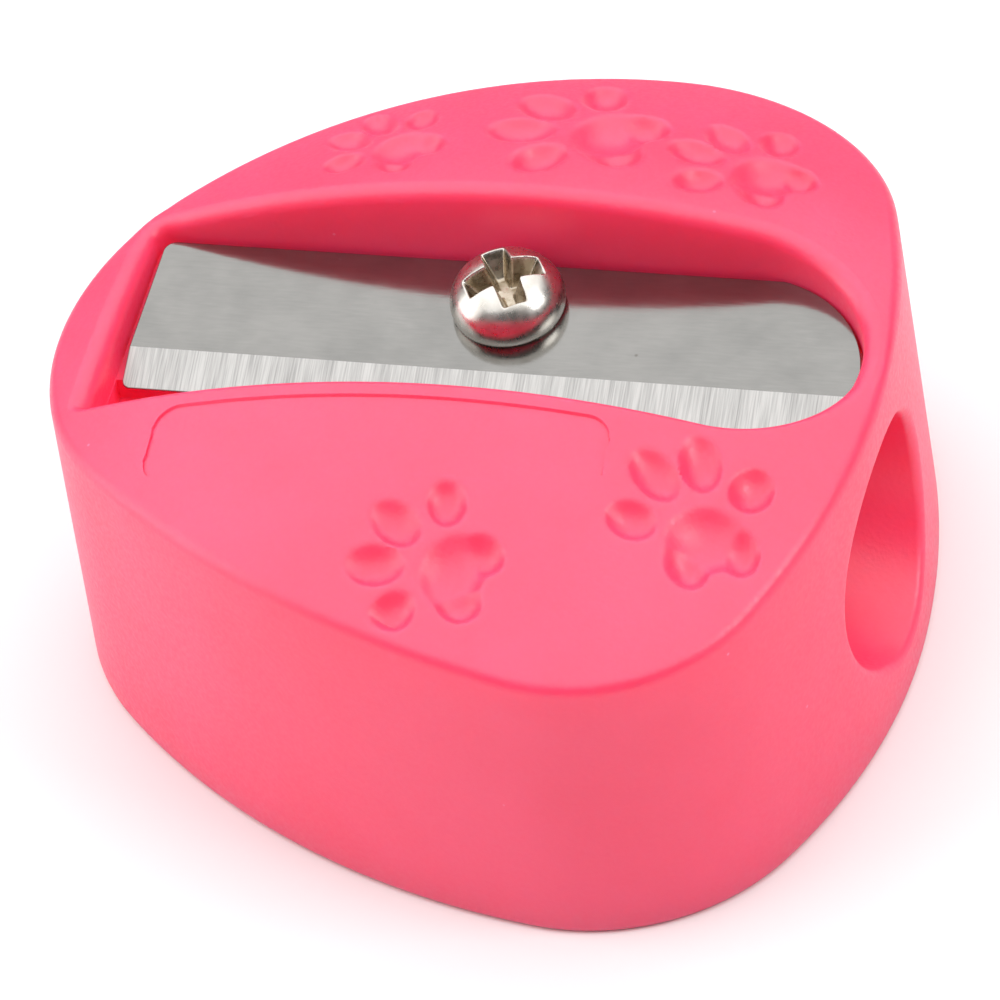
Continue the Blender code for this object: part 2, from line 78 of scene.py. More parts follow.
@dataclass(frozen=True)
class Anchors:
    """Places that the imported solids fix."""

    body_low: Vector
    body_high: Vector
    blade_left: float
    blade_right: float
    edge_y: float
    edge_z: float
    screw_x: float

    @classmethod
    def from_frame(cls, tilt: float, edge_lift: float) -> Anchors:
        """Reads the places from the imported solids.

        Args:
            tilt: the blade's tilt about X, in radians.
            edge_lift: height of the blade's top edge line over the seat, square to the seat.

        Returns:
            The anchors, in millimetres.
        """
        body_low, body_high = (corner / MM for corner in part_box("body"))
        blade_low, blade_high = (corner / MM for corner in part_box("blade"))
        screw_low, screw_high = (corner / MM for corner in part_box("blade_screw"))
        return cls(
            body_low=body_low,
            body_high=body_high,
            blade_left=blade_low.x,
            blade_right=blade_high.x,
            edge_y=blade_low.y + edge_lift * math.sin(tilt),
            edge_z=blade_low.z,
            screw_x=(screw_low.x + screw_high.x) / 2,
        )


def soft_step(value: np.ndarray) -> np.ndarray:
    """Eases a share from 0 to 1, clamped at both ends."""
    share = np.clip(value, 0.0, 1.0)
    return share * share * (3 - 2 * share)


def soft_floor(value: np.ndarray, softness: float) -> np.ndarray:
    """Cuts a value off below 0 with a rounded corner as wide as softness."""
    return softness * np.logaddexp(0.0, value / softness)


def add_mesh(name: str, points: np.ndarray, faces: Sequence[Sequence[int]]) -> bpy.types.Object:
    """Makes an object from points in millimetres.

    Args:
        name: the object's name.
        points: N by 3 positions in millimetres.
        faces: corner indices of each face.

    Returns:
        The linked object, its mesh in metres.
    """
    mesh = bpy.data.meshes.new(name)
    mesh.from_pydata((points * MM).tolist(), [], faces)
    mesh.validate()
    made = bpy.data.objects.new(name, mesh)
    bpy.context.scene.collection.objects.link(made)
    return made


def skin(
    name: str, rings: Sequence[np.ndarray], low_end: np.ndarray, high_end: np.ndarray
) -> bpy.types.Object:
    """Joins closed rings of equal length into a skin that a fan closes at each end.

    Args:
        name: the object's name.
        rings: rings of N by 3 points, each counter-clockwise from above or outside.
        low_end: the point that the first ring's fan meets in.
        high_end: the point that the last ring's fan meets in.

    Returns:
        The closed object, its faces pointing out.
    """
    count = len(rings[0])
    points = np.vstack([*rings, low_end[None], high_end[None]])
    here = np.arange(count)
    after = (here + 1) % count
    faces: list[Sequence[int]] = []
    for row in range(len(rings) - 1):
        low, high = row * count, (row + 1) * count
        faces += np.column_stack((here + low, after + low, after + high, here + high)).tolist()
    last = (len(rings) - 1) * count
    first_tip, last_tip = len(points) - 2, len(points) - 1
    faces += [(int(b), int(a), first_tip) for a, b in zip(here, after)]
    faces += [(int(a + last), int(b + last), last_tip) for a, b in zip(here, after)]
    return add_mesh(name, points, faces)


def carve(target: bpy.types.Object, cutters: Sequence[bpy.types.Object]) -> None:
    """Takes each cutter out of the target, then removes the cutters."""
    for cutter in cutters:
        modifier = target.modifiers.new(cutter.name, "BOOLEAN")
        modifier.operation = "DIFFERENCE"
        modifier.solver = "MANIFOLD"
        modifier.object = cutter
    graph = bpy.context.evaluated_depsgraph_get()
    carved = bpy.data.meshes.new_from_object(target.evaluated_get(graph))
    target.modifiers.clear()
    plain = target.data
    target.data = carved
    carved.name = plain.name
    bpy.data.meshes.remove(plain)
    for cutter in cutters:
        bpy.data.objects.remove(cutter)


def shade(made: bpy.types.Object, crease: float) -> None:
    """Shades a piece smooth, with edges steeper than crease (degrees) kept sharp."""
    made.data.shade_smooth()
    made.data.set_sharp_from_angle(angle=math.radians(crease))


def settle(made: bpy.types.Object, node: str) -> None:
    """Hands a finished piece to the frame: parents it to the body it rides on and hides the solid it stands
    for.
    """
    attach(made, BODY_NAME)
    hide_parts(node)
    log.info("%s: %d faces", made.name, len(made.data.polygons))


class ShaderBench:
    """Lays out the nodes of one material."""

    def __init__(self, name: str) -> None:
        """Starts a material with a Principled shader."""
        self.material = bpy.data.materials.new(name)
        self.material.use_nodes = True
        self.tree = self.material.node_tree
        self.shader = self.tree.nodes["Principled BSDF"]

    def node(self, kind: str, **inputs: object) -> bpy.types.Node:
        """Adds a node and fills its inputs, from sockets or plain values."""
        made = self.tree.nodes.new(kind)
        for label, value in inputs.items():
            self.fill(made.inputs[label.replace("_", " ")], value)
        return made

    def fill(self, socket: Socket, value: object) -> None:
        """Links a socket, or sets a plain value on it."""
        if isinstance(value, Socket):
            self.tree.links.new(value, socket)
        else:
            socket.default_value = value

    def set(self, **inputs: object) -> None:
        """Fills the shader's own inputs."""
        for label, value in inputs.items():
            self.fill(self.shader.inputs[label.replace("_", " ")], value)

    def place(self, stretch: Sequence[float] = (1.0, 1.0, 1.0)) -> Socket:
        """The object's own coordinates in metres, stretched along each axis."""
        coordinates = self.node("ShaderNodeTexCoord").outputs["Object"]
        mapping = self.node("ShaderNodeMapping", Vector=coordinates)
        mapping.inputs["Scale"].default_value = stretch
        return mapping.outputs["Vector"]

    def noise(self, place: Socket, grain: float, detail: float = 2.0) -> Socket:
        """Noise from 0 to 1 with features about grain millimetres across."""
        made = self.node("ShaderNodeTexNoise", Vector=place)
        made.inputs["Scale"].default_value = 1 / (grain * MM)
        made.inputs["Detail"].default_value = detail
        return made.outputs["Fac"]

    def spots(self, place: Socket, spacing: float, size: float, share: float) -> Socket:
        """Sparse round spots, 1 inside and 0 elsewhere.

        Args:
            place: coordinates in metres.
            spacing: width of the cells that may hold a spot, in millimetres.
            size: radius of a spot as a share of its cell.
            share: share of the cells that hold one.

        Returns:
            The mask.
        """
        cells = self.node("ShaderNodeTexVoronoi", Vector=place)
        cells.inputs["Scale"].default_value = 1 / (spacing * MM)
        near = self.spread(cells.outputs["Distance"], size, size * 0.5, 0.0, 1.0)
        pick = self.node("ShaderNodeSeparateColor", Color=cells.outputs["Color"]).outputs["Red"]
        chosen = self.spread(pick, 1 - share, 1 - share + 0.01, 0.0, 1.0)
        return self.math("MULTIPLY", near, chosen)

    def math(self, operation: str, first: object, second: object) -> Socket:
        """One arithmetic step."""
        made = self.tree.nodes.new("ShaderNodeMath")
        made.operation = operation
        self.fill(made.inputs[0], first)
        self.fill(made.inputs[1], second)
        return made.outputs[0]

    def spread(
        self, value: Socket, low: float, high: float, to_low: float, to_high: float
    ) -> Socket:
        """Stretches low..high of a value over to_low..to_high, clamped."""
        made = self.node("ShaderNodeMapRange", Value=value)
        made.clamp = True
        made.inputs["From Min"].default_value = low
        made.inputs["From Max"].default_value = high
        made.inputs["To Min"].default_value = to_low
        made.inputs["To Max"].default_value = to_high
        return made.outputs["Result"]

    def blend(self, share: Socket, first: object, second: object) -> Socket:
        """Mixes two colours by a share."""
        made = self.tree.nodes.new("ShaderNodeMix")
        made.data_type = "RGBA"
        self.fill(made.inputs["Factor"], share)
        for label, value in (("A", first), ("B", second)):
            socket = next(s for s in made.inputs if s.name == label and s.type == "RGBA")
            self.fill(socket, value if isinstance(value, Socket) else (*value, 1.0))
        return next(s for s in made.outputs if s.type == "RGBA")

    def bump(
        self, height: Socket, depth: float, normal: Socket | None = None
    ) -> Socket:
        """Raises the surface by height times depth millimetres."""
        made = self.node("ShaderNodeBump", Height=height)
        made.inputs["Distance"].default_value = depth * MM
        if normal is not None:
            self.fill(made.inputs["Normal"], normal)
        return made.outputs["Normal"]


@dataclass(frozen=True)
class PinkPlastic:
    """Satin moulded plastic: bright pink, a fine mould grain and a few pale moulding specks."""

    pink: Colour = (0.95, 0.052, 0.150)
    deep_pink: Colour = (0.93, 0.043, 0.130)
    pale_pink: Colour = (0.96, 0.15, 0.27)
    grain: float = 0.16
    cloud: float = 5.0

    def material(self) -> bpy.types.Material:
        """Builds the plastic."""
        bench = ShaderBench(Slot.PLASTIC.value)
        place = bench.place()
        clouds = bench.spread(bench.noise(place, self.cloud, 3.0), 0.35, 0.65, 0.0, 1.0)
        grain = bench.noise(place, self.grain, 2.0)
        body = bench.blend(clouds, self.deep_pink, self.pink)
        specks = bench.spots(place, 2.1, 0.032, 0.7)
        bench.set(Base_Color=bench.blend(specks, body, self.pale_pink))
        bench.set(Roughness=bench.spread(grain, 0.3, 0.7, 0.36, 0.48))
        ripple = bench.bump(bench.noise(place, 1.3, 2.0), 0.006)
        bench.set(Normal=bench.bump(grain, 0.008, ripple))
        bench.set(Subsurface_Weight=0.6, Subsurface_Scale=2.2 * MM, Specular_IOR_Level=0.78)
        bench.shader.inputs["Subsurface Radius"].default_value = (1.0, 0.06, 0.09)
        return bench.material


@dataclass(frozen=True)
class BladeSteel:
    """Rolled steel with faint clouds, specks and lines along the strip."""

    light: Colour = (0.245, 0.240, 0.230)
    dark: Colour = (0.205, 0.202, 0.194)
    speck: Colour = (0.16, 0.15, 0.14)

    def material(self) -> bpy.types.Material:
        """Builds the rolled faces' steel."""
        bench = ShaderBench(Slot.STEEL.value)
        place = bench.place()
        clouds = bench.spread(bench.noise(place, 1.6, 3.0), 0.3, 0.7, 0.0, 1.0)
        rolled = bench.noise(bench.place((0.12, 1.0, 1.0)), 0.08, 2.0)
        tone = bench.spread(bench.math("ADD", clouds, rolled), 0.4, 1.5, 0.0, 1.0)
        plain = bench.blend(tone, self.dark, self.light)
        specks = bench.spots(place, 0.8, 0.085, 0.5)
        bench.set(Base_Color=bench.blend(specks, plain, self.speck))
        bench.set(Roughness=bench.spread(rolled, 0.2, 0.8, 0.10, 0.15))
        bench.set(Normal=bench.bump(rolled, 0.0006), Metallic=1.0)
        return bench.material


@dataclass(frozen=True)
class GroundSteel:
    """Freshly ground bevel: bright, with fine lines square to the cutting edge."""

    light: Colour = (0.45, 0.442, 0.43)
    dark: Colour = (0.26, 0.255, 0.248)

    def material(self) -> bpy.types.Material:
        """Builds the bevel's steel."""
        bench = ShaderBench("ground_steel")
        fine = bench.noise(bench.place((1.0, 0.03, 0.03)), 0.05, 3.0)
        broad = bench.noise(bench.place((1.0, 0.02, 0.02)), 0.42, 2.0)
        lines = bench.math("ADD", bench.math("MULTIPLY", fine, 0.65), bench.math("MULTIPLY", broad, 0.35))
        tone = bench.spread(lines, 0.33, 0.6, 0.0, 1.0)
        bench.set(Base_Color=bench.blend(tone, self.dark, self.light))
        bench.set(Roughness=bench.spread(fine, 0.3, 0.7, 0.28, 0.42))
        bench.set(Normal=bench.bump(fine, 0.003), Metallic=1.0)
        return bench.material


@dataclass(frozen=True)
class NickelPlate:
    """Bright nickel with a warm tint and faint handling marks."""

    light: Colour = (0.62, 0.60, 0.565)
    dark: Colour = (0.50, 0.475, 0.43)

    def material(self) -> bpy.types.Material:
        """Builds the plating."""
        bench = ShaderBench(Slot.NICKEL.value)
        place = bench.place()
        clouds = bench.spread(bench.noise(place, 0.7, 3.0), 0.35, 0.65, 0.0, 1.0)
        bench.set(Base_Color=bench.blend(clouds, self.dark, self.light))
        bench.set(Roughness=bench.spread(bench.noise(place, 0.25, 3.0), 0.3, 0.7, 0.24, 0.34))
        bench.set(Normal=bench.bump(bench.noise(place, 0.3, 2.0), 0.002), Metallic=1.0)
        return bench.material


@dataclass(frozen=True)
class RecessNickel:
    """Nickel inside the cross recess, darker and browner than the rest of the head."""

    light: Colour = (0.55, 0.49, 0.40)
    dark: Colour = (0.34, 0.28, 0.21)

    def material(self) -> bpy.types.Material:
        """Builds the recess metal."""
        bench = ShaderBench("recess_nickel")
        clouds = bench.spread(bench.noise(bench.place(), 0.3, 3.0), 0.35, 0.65, 0.0, 1.0)
        bench.set(Base_Color=bench.blend(clouds, self.dark, self.light), Metallic=1.0)
        bench.set(Roughness=bench.spread(clouds, 0.0, 1.0, 0.22, 0.36))
        return bench.material


@dataclass(frozen=True)
class PaleFloor:
    """Plain white studio floor."""

    white: Colour = (0.86, 0.86, 0.86)
    grey: Colour = (0.83, 0.83, 0.83)

    def material(self) -> bpy.types.Material:
        """Builds the floor's paint."""
        bench = ShaderBench("pale_floor")
        clouds = bench.noise(bench.place(), 60.0, 2.0)
        bench.set(Base_Color=bench.blend(clouds, self.grey, self.white), Roughness=0.7)
        return bench.material


@dataclass(frozen=True)
class OutlineHalf:
    """Radii that set one half of the outline apart."""

    corner_radius: float
    nose_radius: float


@dataclass(frozen=True)
class BodyOutline:
    """Outline of the base: a rounded triangle of tangent arcs, its nose flatter on the back half.

    A point on it is named by the direction that the outline faces there.
    """

    length: float
    width: float
    tip_radius: float = 9.1
    side_radius: float = 26.7
    front: OutlineHalf = OutlineHalf(7.5, 20.3)
    back: OutlineHalf = OutlineHalf(8.0, 28.0)

    def arcs(self, half: OutlineHalf) -> tuple[np.ndarray, np.ndarray, np.ndarray]:
        """Works out the arcs of one half, from the nose round to the tip, as if it were the back.

        Args:
            half: the radii of that half.

        Returns:
            The centres, the radii, and the directions where one arc hands over to the next.
        """
        tip = Vector((self.tip_radius - self.length / 2, 0))
        nose = Vector((self.length / 2 - half.nose_radius, 0))
        corner_y = self.width / 2 - half.corner_radius
        reach = half.nose_radius - half.corner_radius
        corner = Vector((nose.x + math.sqrt(reach**2 - corner_y**2), corner_y))
        to_tip = self.side_radius - self.tip_radius
        to_corner = self.side_radius - half.corner_radius
        span = corner - tip
        along = (to_tip**2 - to_corner**2 + span.length_squared) / (2 * span.length)
        across = math.sqrt(to_tip**2 - along**2)
        unit = span.normalized()
        side = tip + unit * along + Vector((unit.y, -unit.x)) * across
        turns = [math.atan2(*reversed(step)) for step in (corner - nose, corner - side, tip - side)]
        radii = (half.nose_radius, half.corner_radius, self.side_radius, self.tip_radius)
        return np.array((nose, corner, side, tip)), np.array(radii), np.array(turns)

    def point(self, facing: np.ndarray) -> np.ndarray:
        """Plan points where the outline faces the given directions."""
        facing = np.arctan2(np.sin(facing), np.cos(facing))
        turned = np.abs(facing)
        found = np.empty((len(facing), 2))
        for half, side, chosen in ((self.back, 1, facing >= 0), (self.front, -1, facing < 0)):
            centres, radii, turns = self.arcs(half)
            arc = np.searchsorted(turns, turned[chosen])
            found[chosen, 0] = centres[arc, 0] + radii[arc] * np.cos(turned[chosen])
            found[chosen, 1] = side * (centres[arc, 1] + radii[arc] * np.sin(turned[chosen]))
        return found

    def struck_by(self, start: np.ndarray, heading: np.ndarray) -> np.ndarray:
        """Finds where rays from inside strike the outline.

        Args:
            start: N by 2 plan points inside the outline.
            heading: the rays' directions, in radians.

        Returns:
            The direction that the outline faces at each strike.
        """
        low, high = heading - math.pi / 2, heading + math.pi / 2
        aim = np.column_stack((np.cos(heading), np.sin(heading)))
        for _ in range(BISECTIONS):
            middle = (low + high) / 2
            offset = self.point(middle) - start
            left = aim[:, 0] * offset[:, 1] - aim[:, 1] * offset[:, 0] > 0
            high = np.where(left, middle, high)
            low = np.where(left, low, middle)
        return (low + high) / 2


@dataclass(frozen=True)
class PawPrint:
    """One paw print: a kidney-shaped pad and four toes, pressed softly into the crown."""

    x: float
    y: float
    heading: float
    size: float
    toe_depth: float = 0.4
    pad_depth: float = 0.5
    inner_toe: tuple[float, float, float] = (2.56, 1.87, 1.27)
    outer_toe: tuple[float, float, float] = (2.25, 1.52, 1.22)
    inner_turn: float = math.radians(16)
    outer_turn: float = math.radians(55)
    softness: float = 0.1

    @staticmethod
    def dish(x: np.ndarray, y: np.ndarray, length: float, width: float) -> np.ndarray:
        """Level of an oval dish: 1 in the middle, 0 on its outline and below 0 outside."""
        return 1 - (2 * x / length) ** 2 - (2 * y / width) ** 2

    def local(self, x: np.ndarray, y: np.ndarray, reach: float, turn: float) -> tuple[np.ndarray, np.ndarray]:
        """Plan coordinates about a point of the print, along and across the way out to it."""
        angle = self.heading + turn
        dx = (x - self.x) / self.size - reach * math.cos(angle)
        dy = (y - self.y) / self.size - reach * math.sin(angle)
        along = dx * math.cos(angle) + dy * math.sin(angle)
        return along, dy * math.cos(angle) - dx * math.sin(angle)

    def pad_level(self, x: np.ndarray, y: np.ndarray) -> np.ndarray:
        """Level of the pad: a wide dish and two heel lobes that leave a soft notch between them."""
        along, across = self.local(x, y, 0.0, 0.0)
        middle = self.dish(along - 0.12, across, 1.98, 2.3)
        lobes = [self.dish(along + 0.42, across - side * 0.76, 1.5, 1.26) for side in (1, -1)]
        blend = 9.0
        return np.logaddexp.reduce([blend * level for level in (middle, *lobes)]) / blend

    def depth(self, x: np.ndarray, y: np.ndarray) -> np.ndarray:
        """How deep the print is pressed in over plan points."""
        deepest = np.zeros_like(x)
        toes = [(self.inner_toe, turn) for turn in (self.inner_turn, -self.inner_turn)]
        toes += [(self.outer_toe, turn) for turn in (self.outer_turn, -self.outer_turn)]
        levels = []
        for (reach, length, width), turn in toes:
            along, across = self.local(x, y, reach, turn)
            levels.append((self.dish(along, across, length, width), self.toe_depth))
        levels.append((self.pad_level(x, y), self.pad_depth))
        for level, depth in levels:
            bowl = soft_floor(level, self.softness) ** 0.8
            deepest = np.maximum(deepest, depth * self.size * bowl)
        return deepest


@dataclass(frozen=True)
class Crown:
    """Shallow dome over the whole top, with the paw prints pressed into it."""

    top: float
    centre_x: float
    paws: tuple[PawPrint, ...]
    setback: float = 1.5
    radius_along: float = 33.5
    radius_across: float = 32.0

    def height(self, x: np.ndarray, y: np.ndarray) -> np.ndarray:
        """Height of the plain dome over plan points."""
        along = (x - self.centre_x) ** 2 / (2 * self.radius_along)
        across = (y - self.setback) ** 2 / (2 * self.radius_across)
        return self.top - along - across

    def steepness(self, x: np.ndarray, y: np.ndarray, towards: np.ndarray) -> np.ndarray:
        """Rise of the plain dome per millimetre along each plan direction."""
        slope_x = (self.centre_x - x) / self.radius_along
        slope_y = (self.setback - y) / self.radius_across
        return slope_x * towards[:, 0] + slope_y * towards[:, 1]

    def pressed(self, x: np.ndarray, y: np.ndarray) -> np.ndarray:
        """Height of the dome with the paw prints in it."""
        return self.height(x, y) - np.max([paw.depth(x, y) for paw in self.paws], axis=0)


@dataclass(frozen=True)
class EdgeRound:
    """Rounding between the crown and a wall, worked out in upright planes square to the wall.

    In each plane u runs out of the material from the wall's foot, and z is the height.
    """

    crown: Crown
    foot: np.ndarray
    foot_z: np.ndarray
    outward: np.ndarray
    radius: np.ndarray
    lean: float
    steps: int

    def place(self, u: np.ndarray, z: np.ndarray) -> np.ndarray:
        """Points in space from plane coordinates."""
        plan = self.foot + self.outward * u[:, None]
        return np.column_stack((plan, z))

    def centre(self, u: np.ndarray) -> tuple[np.ndarray, np.ndarray, np.ndarray]:
        """Centre of the rounding that leaves the crown at u, and the way the crown faces there."""
        plan = self.foot + self.outward * u[:, None]
        slope = self.crown.steepness(plan[:, 0], plan[:, 1], self.outward)
        facing = np.arctan2(1.0, -slope)
        z = self.crown.height(plan[:, 0], plan[:, 1])
        return u - self.radius * np.cos(facing), z - self.radius * np.sin(facing), facing

    def rings(self) -> list[np.ndarray]:
        """Rings of points from the crown down to the wall."""
        low = np.full(len(self.foot), -4.0)
        high = np.full(len(self.foot), 2.0)
        for _ in range(BISECTIONS):
            middle = (low + high) / 2
            u, z, _facing = self.centre(middle)
            gap = u * math.cos(self.lean) + (z - self.foot_z) * math.sin(self.lean) + self.radius
            high = np.where(gap > 0, middle, high)
            low = np.where(gap > 0, low, middle)
        u, z, facing = self.centre((low + high) / 2)
        found = []
        for step in range(self.steps + 1):
            angle = facing + (self.lean - facing) * step / self.steps
            found.append(self.place(u + self.radius * np.cos(angle), z + self.radius * np.sin(angle)))
        return found

    def wall_ring(self, z: np.ndarray) -> np.ndarray:
        """Ring of wall points at the given heights."""
        return self.place((self.foot_z - z) * math.tan(self.lean), z)


@dataclass(frozen=True)
class Pocket:
    """The pocket in the top: square at the tip end, round at the nose end."""

    left: float
    right: float
    front: float
    back: float
    back_corner: float = 0.45
    front_corner: float = 0.2
    lip_round: float = 0.22
    edge_round: float = 0.5

    @property
    def radius(self) -> float:
        """Radius of the round end."""
        return (self.back - self.front) / 2

    @property
    def nose_centre(self) -> Vector:
        """Centre of the round end."""
        return Vector((self.right - self.radius, (self.front + self.back) / 2))

    def outline(self) -> tuple[np.ndarray, np.ndarray]:
        """Walks once round the pocket's foot, counter-clockwise from the front left corner.

        Returns:
            The plan points, and at each one the direction from the pocket into the body.
        """
        points, facings = [], []

        def straight(start: Sequence[float], end: Sequence[float], facing: float, gap: float) -> None:
            count = max(1, round((Vector(end) - Vector(start)).length / gap))
            shares = np.arange(count)[:, None] / count
            points.append(np.array(start) + (np.array(end) - np.array(start)) * shares)
            facings.append(np.full(count, facing))

        def arc(centre: Sequence[float], radius: float, start: float, end: float, count: int) -> None:
            angles = np.radians(start + (end - start) * np.arange(count) / count)
            offsets = np.column_stack((np.cos(angles), np.sin(angles))) * radius
            points.append(np.array(centre) + offsets)
            facings.append(angles)

        nose = self.nose_centre
        fan_end = self.left + self.radius
        front_left = (self.left + self.front_corner, self.front)
        back_left = (self.left + self.back_corner, self.back)
        straight(front_left, (fan_end, self.front), -math.pi / 2, 0.085)
        straight((fan_end, self.front), (nose.x, self.front), -math.pi / 2, 0.1)
        for start, end, count in ((-90, -60, 42), (-60, 60, 80), (60, 90, 42)):
            arc(nose, self.radius, start, end, count)
        straight((nose.x, self.back), (fan_end, self.back), math.pi / 2, 0.1)
        straight((fan_end, self.back), back_left, math.pi / 2, 0.085)
        arc((back_left[0], self.back - self.back_corner), self.back_corner, 90, 180, 8)
        side_start = (self.left, self.back - self.back_corner)
        side_end = (self.left, self.front + self.front_corner)
        straight(side_start, side_end, math.pi, 0.12)
        arc((front_left[0], self.front + self.front_corner), self.front_corner, 180, 270, 6)
        facing = np.concatenate(facings)
        return np.vstack(points), np.column_stack((np.cos(facing), np.sin(facing)))

    def heading(self, points: np.ndarray) -> np.ndarray:
        """Directions of the rays from the pocket's spine through its outline."""
        nose = self.nose_centre
        spine = np.column_stack(
            (np.clip(points[:, 0], self.left + self.radius, nose.x), np.full(len(points), nose.y))
        )
        away = points - spine
        return np.arctan2(away[:, 1], away[:, 0])

    def rounding(self, points: np.ndarray, into_body: np.ndarray) -> np.ndarray:
        """Radius of the edge rounding: small on the front lip, full on the back and the ends."""
        share = soft_step((into_body[:, 1] + 1) / 1.0)
        return self.lip_round + (self.edge_round - self.lip_round) * share


@dataclass
class MouldedBody:
    """The one-piece moulded body with its pocket, shavings gap, pencil bore, paws and panel."""

    anchors: Anchors
    finish: PinkPlastic = field(default_factory=PinkPlastic)
    tilt: float = math.radians(5.5)
    draft: float = math.radians(2.5)
    pocket_draft: float = math.radians(1.0)
    rim_round: float = 0.52
    base_round: float = 0.3
    round_share: float = 0.4
    blade_gap: float = 0.3
    shavings_gap: float = 2.27
    back_to_edge: float = 6.08
    crown_over_edge: float = 4.05
    bore_radius: float = 4.0
    bore_angle: float = math.radians(11.5)
    floor_under_bore: float = 1.65
    entry_length: float = 2.4
    cone_tip_radius: float = 0.45
    mouth_round: float = 0.32
    pilot_radius: float = 1.5
    pilot_depth: float = 4.8
    screw_from_edge: float = 4.17
    slot_ledge: float = 0.1
    slot_under_blade: float = 0.35
    panel_length: float = 14.7
    panel_width: float = 2.65
    panel_corner: float = 0.75
    panel_depth: float = 0.09
    panel_slant: float = 0.05
    panel_columns: int = 130
    panel_rows: int = 25
    slot_to_wall: float = 0.02
    panel_from_lip: float = 0.7
    panel_from_pocket_end: float = 2.8
    crown_rows: int = 88
    fade_rows: int = 5
    wall_rows: int = 10

    def __post_init__(self) -> None:
        """Works out the pocket, the crown and the outline from the anchors."""
        a = self.anchors
        front = a.edge_y - self.shavings_gap
        self.pocket = Pocket(
            left=a.blade_left - self.blade_gap,
            right=a.blade_right + self.blade_gap,
            front=front,
            back=a.edge_y + self.back_to_edge,
        )
        self.crown = Crown(a.edge_z + self.crown_over_edge, a.screw_x, self.paw_prints())
        trim = 2 * self.rim_round * math.tan(self.draft)
        size = a.body_high - a.body_low
        self.outline = BodyOutline(size.x + trim, size.y + trim)
        self.nose_x = a.body_high.x + trim / 2

    def paw_prints(self) -> tuple[PawPrint, ...]:
        """The five prints, set out from the screw and from the pocket's long edges."""
        screw_x = self.anchors.screw_x
        front, back = self.pocket.front, self.pocket.back
        return (
            PawPrint(screw_x + 1.5, front - 6.41, math.radians(164), 1.0),
            PawPrint(screw_x + 8.65, front - 4.1, math.radians(120), 1.03),
            PawPrint(screw_x - 4.3, back + 2.55, math.radians(143), 0.88),
            PawPrint(screw_x + 2.4, back + 3.9, math.radians(165), 1.2),
            PawPrint(screw_x + 7.6, back + 2.9, math.radians(148), 1.0),
        )

    def seat_height(self, y: np.ndarray | float) -> np.ndarray | float:
        """Height of the sloping seat that the blade rests on."""
        return self.anchors.edge_z + (y - self.anchors.edge_y) * math.tan(self.tilt)

    def shell(self) -> bpy.types.Object:
        """The body before anything is cut: base, drafted wall, crown and pocket in one skin."""
        foot, into_body = self.pocket.outline()
        facing = self.outline.struck_by(foot, self.pocket.heading(foot))
        base = self.outline.point(facing)
        outward = np.column_stack((np.cos(facing), np.sin(facing)))
        drawn_in = self.anchors.edge_z * math.tan(self.draft)
        land = np.linalg.norm(base - foot, axis=1) - drawn_in
        most = land * self.round_share
        rim_round = np.minimum(self.rim_round, most)
        rim = EdgeRound(self.crown, base, np.zeros(len(base)), outward, rim_round, self.draft, 7)
        lip = EdgeRound(
            self.crown,
            foot,
            self.seat_height(foot[:, 1]),
            -into_body,
            np.minimum(self.pocket.rounding(foot, into_body), most),
            self.pocket_draft,
            6,
        )
        rim_rings, lip_rings = rim.rings(), lip.rings()
        rings = [*self.base_rings(rim), *self.wall_rings(rim, rim_rings[-1][:, 2])]
        rings += rim_rings[::-1]
        rings += self.crown_rings(rim_rings[0], lip_rings[0])
        rings += lip_rings
        top = lip_rings[-1][:, 2]
        for share in (0.25, 0.5, 0.75, 1.0):
            rings.append(lip.wall_ring(top + (lip.foot_z - top) * share))
        middle = np.array((*((np.array(foot).min(0) + np.array(foot).max(0)) / 2), 0.0))
        middle[2] = self.seat_height(middle[1])
        floor = rings[-1]
        rings += [middle + (floor - middle) * share for share in (0.66, 0.33)]
        return skin("body_shell", rings, np.zeros(3), middle)

    def base_rings(self, rim: EdgeRound) -> list[np.ndarray]:
        """Rings of the flat base, from the middle out, then the rounding up to the wall."""
        radius = self.base_round
        centre = -radius * (1 + math.sin(self.draft)) / math.cos(self.draft)
        turn = []
        for step in range(5):
            angle = -math.pi / 2 + (self.draft + math.pi / 2) * step / 4
            u = np.full(len(rim.foot), centre + radius * math.cos(angle))
            turn.append(rim.place(u, np.full(len(u), radius * (1 + math.sin(angle)))))
        return [turn[0] * share for share in (0.3, 0.65)] + turn

    def wall_rings(self, rim: EdgeRound, top: np.ndarray) -> list[np.ndarray]:
        """Rings of the drafted wall between its two roundings."""
        bottom = self.base_round * (1 + math.sin(self.draft))
        shares = [row / self.wall_rows for row in range(1, self.wall_rows)]
        return [rim.wall_ring(bottom + (top - bottom) * share) for share in shares]

    def crown_rings(self, rim: np.ndarray, lip: np.ndarray) -> list[np.ndarray]:
        """Rings of the crown between the rim and the pocket, with the paw prints pressed in."""
        found = []
        for row in range(1, self.crown_rows):
            plan = rim[:, :2] + (lip[:, :2] - rim[:, :2]) * row / self.crown_rows
            plain = self.crown.height(plan[:, 0], plan[:, 1])
            share = min(1.0, row / self.fade_rows)
            pressed = self.crown.pressed(plan[:, 0], plan[:, 1])
            found.append(np.column_stack((plan, plain + (pressed - plain) * share)))
        return found

    def bore_axes(self) -> tuple[np.ndarray, np.ndarray, np.ndarray, np.ndarray]:
        """The bore's mouth centre, its way into the body, and two directions square to it."""
        mouth_z = self.floor_under_bore + self.bore_radius / math.cos(self.bore_angle)
        start = np.array((self.nose_x, self.anchors.edge_y, mouth_z))
        inward = np.array((-math.cos(self.bore_angle), 0.0, math.sin(self.bore_angle)))
        side = np.array((0.0, 1.0, 0.0))
        return start, inward, side, np.cross(inward, side)

